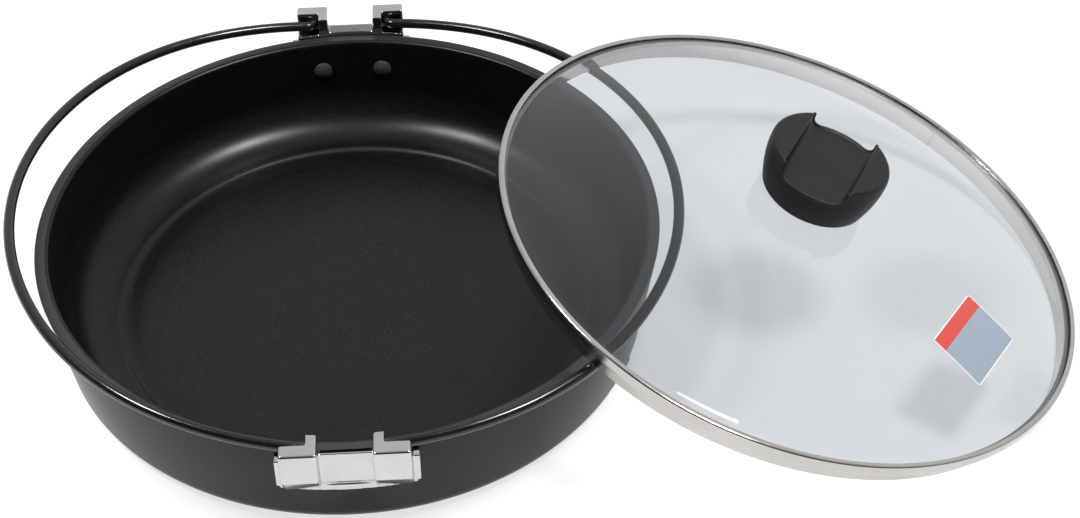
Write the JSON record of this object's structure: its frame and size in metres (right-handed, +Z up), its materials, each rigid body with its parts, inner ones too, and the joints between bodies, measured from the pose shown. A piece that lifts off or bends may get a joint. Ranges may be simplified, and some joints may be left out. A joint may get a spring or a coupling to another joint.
{
  "type": "electric griddle pot with lid",
  "caption": "Round coated grill pot from an electric griddle, with wire bail handles in cast brackets and a domed glass lid leaning on its rim side.",
  "frame": {"origin": "centre of the pan's flat underside", "axes": "+Z up out of the pan; the two brackets lie on the Y axis, front towards -Y; the lid leans to the +X side"},
  "size_m": [0.5142, 0.3291, 0.1108],
  "materials": {
    "pan_coating": "die-cast aluminium under a dark grey sparkled non-stick coating",
    "bright_chrome": "polished chrome on a zinc casting",
    "dark_rivet": "aluminium rivet heads under the pan's coating",
    "wire_enamel": "gloss black enamel on steel wire",
    "clear_glass": "clear tempered glass",
    "stainless": "bright stainless steel sheet",
    "knob_plastic": "matte black heat-resistant moulding",
    "brass": "turned brass insert",
    "silicone": "grey silicone rubber",
    "label_film": "blank printed film label"
  },
  "bodies": {
    "pot": {"pan_shell": "pan_coating", "front_bracket": "bright_chrome", "back_bracket": "bright_chrome", "front_left_rivet": "dark_rivet", "front_right_rivet": "dark_rivet", "back_left_rivet": "dark_rivet", "back_right_rivet": "dark_rivet"},
    "left_handle": {"left_handle": "wire_enamel"},
    "right_handle": {"right_handle": "wire_enamel"},
    "lid": {"lid_glass": "clear_glass", "lid_band": "stainless", "lid_knob": "knob_plastic", "knob_insert": "brass", "knob_seal": "silicone", "under_seal": "silicone", "knob_washer": "stainless", "knob_screw": "stainless", "care_label": "label_film"}
  },
  "joints": [
    {"name": "left_handle_hinge", "type": "hinge", "parent": "pot", "child": "left_handle", "pos_m": [-0.0195, 0, 0.0612], "axis": [0, 1, 0], "range_deg": [0, 83]},
    {"name": "right_handle_hinge", "type": "hinge", "parent": "pot", "child": "right_handle", "pos_m": [0.0195, 0, 0.0612], "axis": [0, -1, 0], "range_deg": [0, 87]},
    {"name": "lid_lift", "type": "slide", "parent": "pot", "child": "lid", "axis": [0, 0, 1], "range_m": [0, 0.3]}
  ],
  "couplings": [
    {"joint": "right_handle_hinge", "follows": "lid_lift", "rad_per_m": 5.05}
  ]
}
